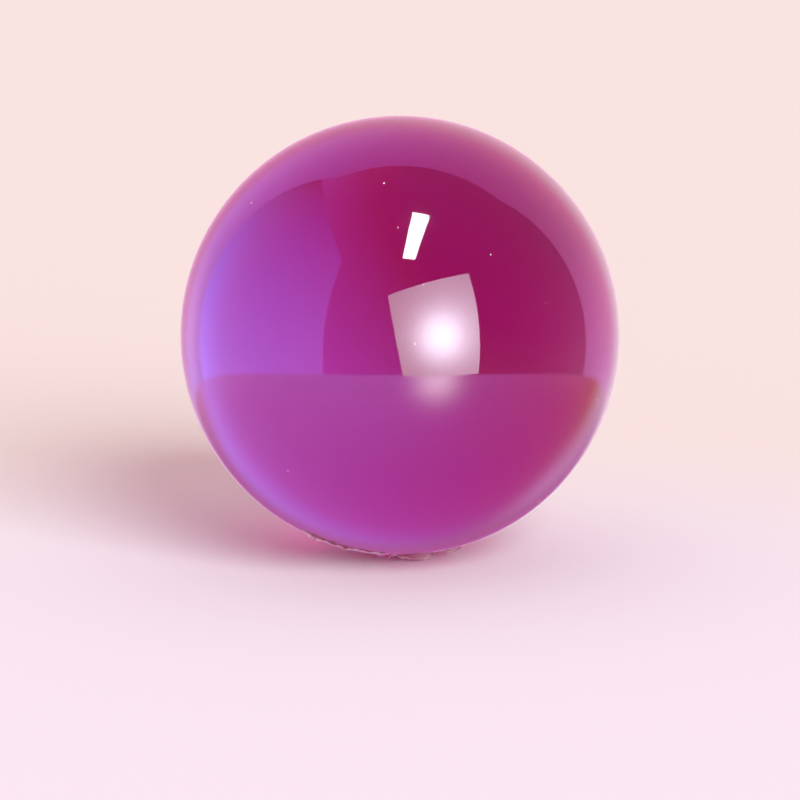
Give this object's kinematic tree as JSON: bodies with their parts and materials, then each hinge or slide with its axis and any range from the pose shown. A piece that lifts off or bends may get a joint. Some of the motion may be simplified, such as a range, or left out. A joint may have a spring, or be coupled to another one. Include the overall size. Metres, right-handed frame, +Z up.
{
  "type": "cue ball",
  "caption": "Solid ball of clear tinted resin, wedged on torn scraps of clear film that keep it from rolling.",
  "frame": {"origin": "on the surface that the film lies on, straight below the middle of the ball", "axes": "+Z up through the middle of the ball; -Y to the front, where the turned-up edge of the film shows; +X to the right"},
  "size_m": [0.0572, 0.0572, 0.0578],
  "materials": {
    "tinted_resin": "polished",
    "clear_film": "gloss"
  },
  "bodies": {
    "film": {"film_left": "clear_film", "film_right": "clear_film"},
    "ball": {"ball": "tinted_resin", "film_centre": "clear_film"}
  },
  "joints": [
    {"name": "ball_lift", "type": "slide", "parent": "film", "child": "ball", "axis": [0, 0, 1], "range_m": [0, 0.05]}
  ]
}
